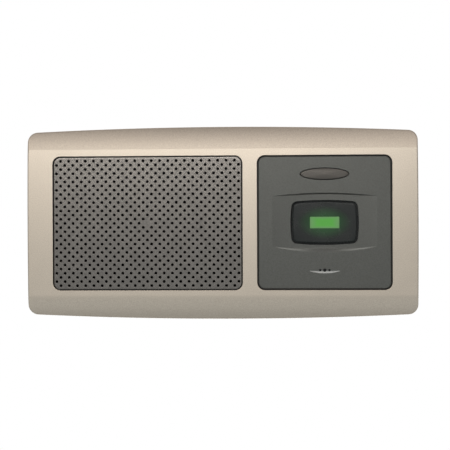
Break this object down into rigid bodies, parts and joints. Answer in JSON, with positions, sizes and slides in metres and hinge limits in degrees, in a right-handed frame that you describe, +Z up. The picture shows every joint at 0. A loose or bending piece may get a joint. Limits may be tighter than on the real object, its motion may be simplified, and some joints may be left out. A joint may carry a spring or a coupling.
{
  "type": "door intercom station",
  "caption": "Wall intercom station: bowed frame with perforated speaker grille and a panel with lit call button, oval button and microphone scoop.",
  "frame": {"origin": "centre of the rear housing's back face, on the wall plane", "axes": "+X to the viewer's right, +Z up the wall, the front faces -Y"},
  "size_m": [0.1762, 0.0322, 0.0864],
  "materials": {
    "champagne_plastic": "satin, fine metallic flake",
    "grille_plastic": "fine spark texture",
    "panel_plastic": "fine spark texture",
    "smoked_plastic": "satin smoked",
    "green_lens": "clear green, lit from behind",
    "oval_plastic": "satin",
    "housing_plastic": "moulded",
    "black_plastic": "moulded",
    "white_plastic": "moulded",
    "green_plastic": "moulded",
    "orange_plastic": "moulded",
    "tag_board": "pressed board",
    "board_laminate": "solder resist over glass laminate",
    "black_rubber": "matt",
    "black_foam": "open-cell foam",
    "black_cloth": "plain weave",
    "spider_cloth": "resin-stiffened weave",
    "cone_paper": "pressed paper",
    "lead_sleeve": "PVC insulation",
    "zinc_steel": "zinc plated",
    "core_steel": "laminated",
    "ferrite": "sintered",
    "brass": "turned",
    "copper_wire": "enamelled winding",
    "aluminium_can": "drawn",
    "capacitor_sleeve": "shrink sleeve",
    "winding_tape": "polyester tape"
  },
  "bodies": {
    "station": {"front_frame": "champagne_plastic", "speaker_grille": "grille_plastic", "grille_cloth": "black_cloth", "control_panel": "panel_plastic", "inner_chassis": "black_plastic", "chassis_screws": "zinc_steel", "rear_housing": "housing_plastic", "cable_grommet": "black_rubber", "case_screws": "zinc_steel", "case_inserts": "brass", "speaker_basket": "zinc_steel", "speaker_gasket": "black_foam", "speaker_surround": "black_rubber", "speaker_spider": "spider_cloth", "speaker_top_plate": "zinc_steel", "speaker_magnet": "ferrite", "speaker_yoke": "zinc_steel", "speaker_tag_board": "tag_board", "speaker_tags": "zinc_steel", "speaker_screws": "zinc_steel", "speaker_leads": "lead_sleeve", "speaker_plug": "white_plastic", "speaker_socket": "white_plastic", "circuit_board": "board_laminate", "board_screws": "zinc_steel", "call_switches": "black_plastic", "oval_switch": "black_plastic", "call_lamps": "green_lens", "microphone": "aluminium_can", "microphone_boot": "black_rubber", "terminal_block": "green_plastic", "terminal_screws": "zinc_steel", "transformer_core": "core_steel", "transformer_coil": "winding_tape", "relay": "orange_plastic", "capacitors": "capacitor_sleeve", "amplifier_chip": "black_plastic"},
    "call_key": {"call_button": "smoked_plastic", "call_window": "green_lens", "call_plungers": "white_plastic"},
    "oval_key": {"oval_button": "oval_plastic", "oval_plunger": "white_plastic"},
    "cone_assembly": {"speaker_cone": "cone_paper", "speaker_dust_cap": "cone_paper", "voice_coil": "copper_wire"}
  },
  "joints": [
    {"name": "call_button_press", "type": "slide", "parent": "station", "child": "call_key", "axis": [0, 1, 0], "range_m": [0, 0.001], "stiffness_N_per_m": 800, "springref_m": -0.001},
    {"name": "oval_button_press", "type": "slide", "parent": "station", "child": "oval_key", "axis": [0, 1, 0], "range_m": [0, 0.0008], "stiffness_N_per_m": 800, "springref_m": -0.001},
    {"name": "speaker_cone_travel", "type": "slide", "parent": "station", "child": "cone_assembly", "axis": [0, 1, 0], "range_m": [-0.0006, 0.0006], "stiffness_N_per_m": 1500, "deforming": ["speaker_surround", "speaker_spider"]}
  ]
}
